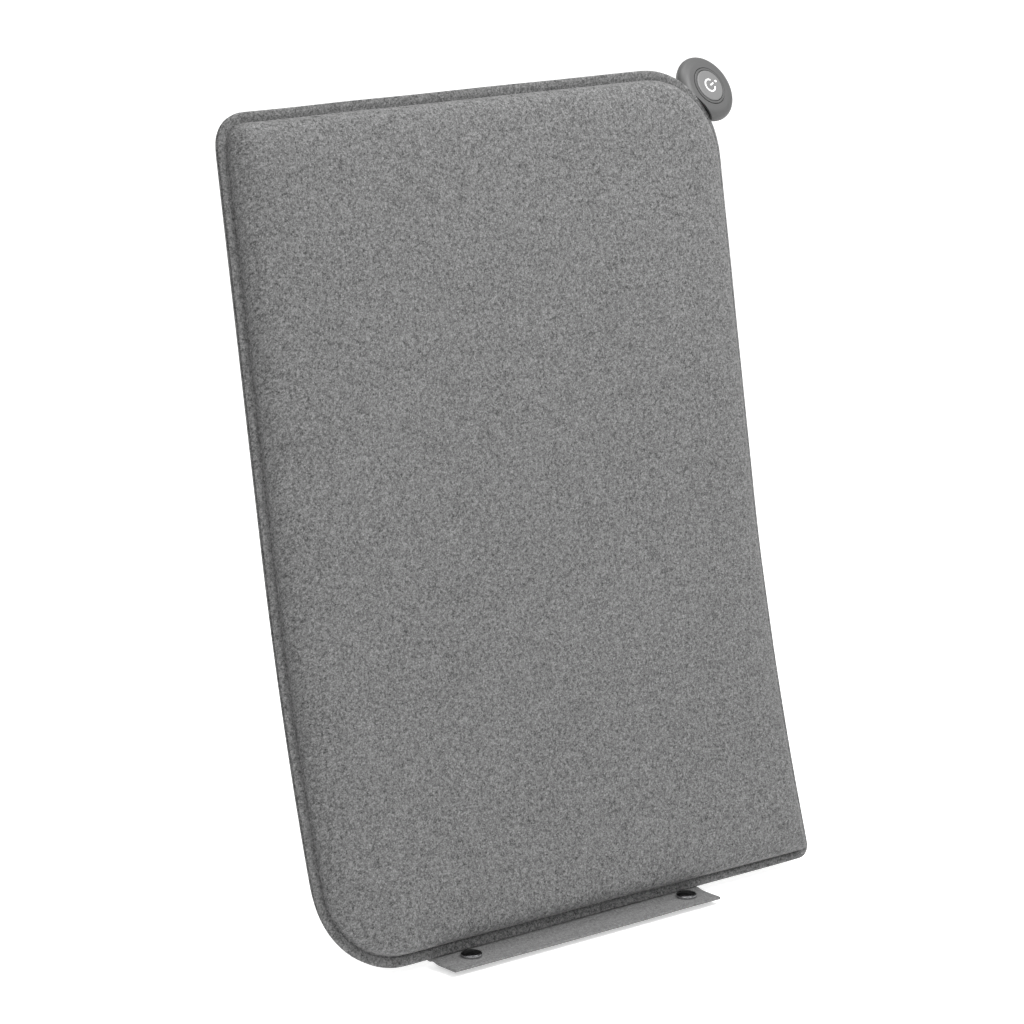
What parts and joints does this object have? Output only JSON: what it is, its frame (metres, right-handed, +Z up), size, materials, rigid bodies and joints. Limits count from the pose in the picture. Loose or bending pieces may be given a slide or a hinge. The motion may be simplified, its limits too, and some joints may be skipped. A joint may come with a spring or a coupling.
{
  "type": "infrared heating mat",
  "caption": "Padded grey felt infrared heating mat with a raised panel, a round corner controller with a power button, and a felt tab with press studs along its lower edge.",
  "frame": {"origin": "middle of the whole object's base, on the surface it stands on", "axes": "+Z up, +X to the right seen from the front, the heated front looks along -Y and leans back"},
  "size_m": [0.4752, 0.1664, 0.5973],
  "materials": {
    "felt": "melange grey wool-look felt, matt",
    "tab_felt": "smooth grey felt, matt",
    "foam": "open-cell foam",
    "film": "carbon heating film",
    "copper": "copper strip",
    "foil": "foil-faced sheet",
    "lead_red": "red insulation",
    "lead_black": "black insulation",
    "lead_white": "white insulation",
    "housing": "matt grey moulded plastic",
    "button": "satin grey moulded plastic",
    "icon": "translucent white plastic",
    "board": "green solder mask",
    "dark": "black plastic",
    "steel": "bright steel",
    "gunmetal": "dark polished gunmetal plating"
  },
  "bodies": {
    "upper_mat": {"front_cover_upper": "felt", "back_cover_upper": "felt", "foam_core_upper": "foam", "heating_film_upper": "film", "heat_reflector_upper": "foil", "busbar_left_upper": "copper", "busbar_right_upper": "copper", "temperature_sensor": "dark", "thermal_cutoff": "steel", "lead_positive": "lead_red", "lead_negative": "lead_black", "lead_return": "lead_black", "lead_sensor": "lead_white", "controller_top_shell": "housing", "controller_back_shell": "housing", "button_bezel": "housing", "circuit_board": "board", "tact_switch_body": "dark", "status_led": "icon", "usb_socket": "steel", "controller_screw_1": "steel", "controller_screw_2": "steel", "controller_screw_3": "steel"},
    "lower_mat": {"front_cover_lower": "felt", "back_cover_lower": "felt", "foam_core_lower": "foam", "heating_film_lower": "film", "heat_reflector_lower": "foil", "busbar_left_lower": "copper", "busbar_right_lower": "copper", "tab_seam_margin": "tab_felt"},
    "tab": {"snap_tab": "tab_felt", "snap_cap_left": "gunmetal", "snap_cap_right": "gunmetal", "snap_socket_left": "steel", "snap_socket_right": "steel"},
    "button": {"power_button": "button", "icon_light_pipe": "icon"},
    "plunger": {"switch_plunger": "lead_white"}
  },
  "joints": [
    {"name": "mat_fold", "type": "hinge", "parent": "upper_mat", "child": "lower_mat", "pos_m": [-0.01258, -0.00402, 0.30103], "axis": [-1, 0, 0], "range_deg": [0, 165]},
    {"name": "tab_fold", "type": "hinge", "parent": "lower_mat", "child": "tab", "pos_m": [-0.02558, -0.05023, 0.0044], "axis": [1, 0, 0], "range_deg": [0, 150]},
    {"name": "button_press", "type": "slide", "parent": "upper_mat", "child": "button", "axis": [-0.1097, 0.8434, -0.5259], "range_m": [0, 0.0006], "stiffness_N_per_m": 1500, "springref_m": -0.0003},
    {"name": "switch_press", "type": "slide", "parent": "upper_mat", "child": "plunger", "axis": [-0.1097, 0.8434, -0.5259], "range_m": [0, 0.0007]}
  ],
  "couplings": [
    {"joint": "switch_press", "follows": "button_press", "ratio": 1}
  ]
}
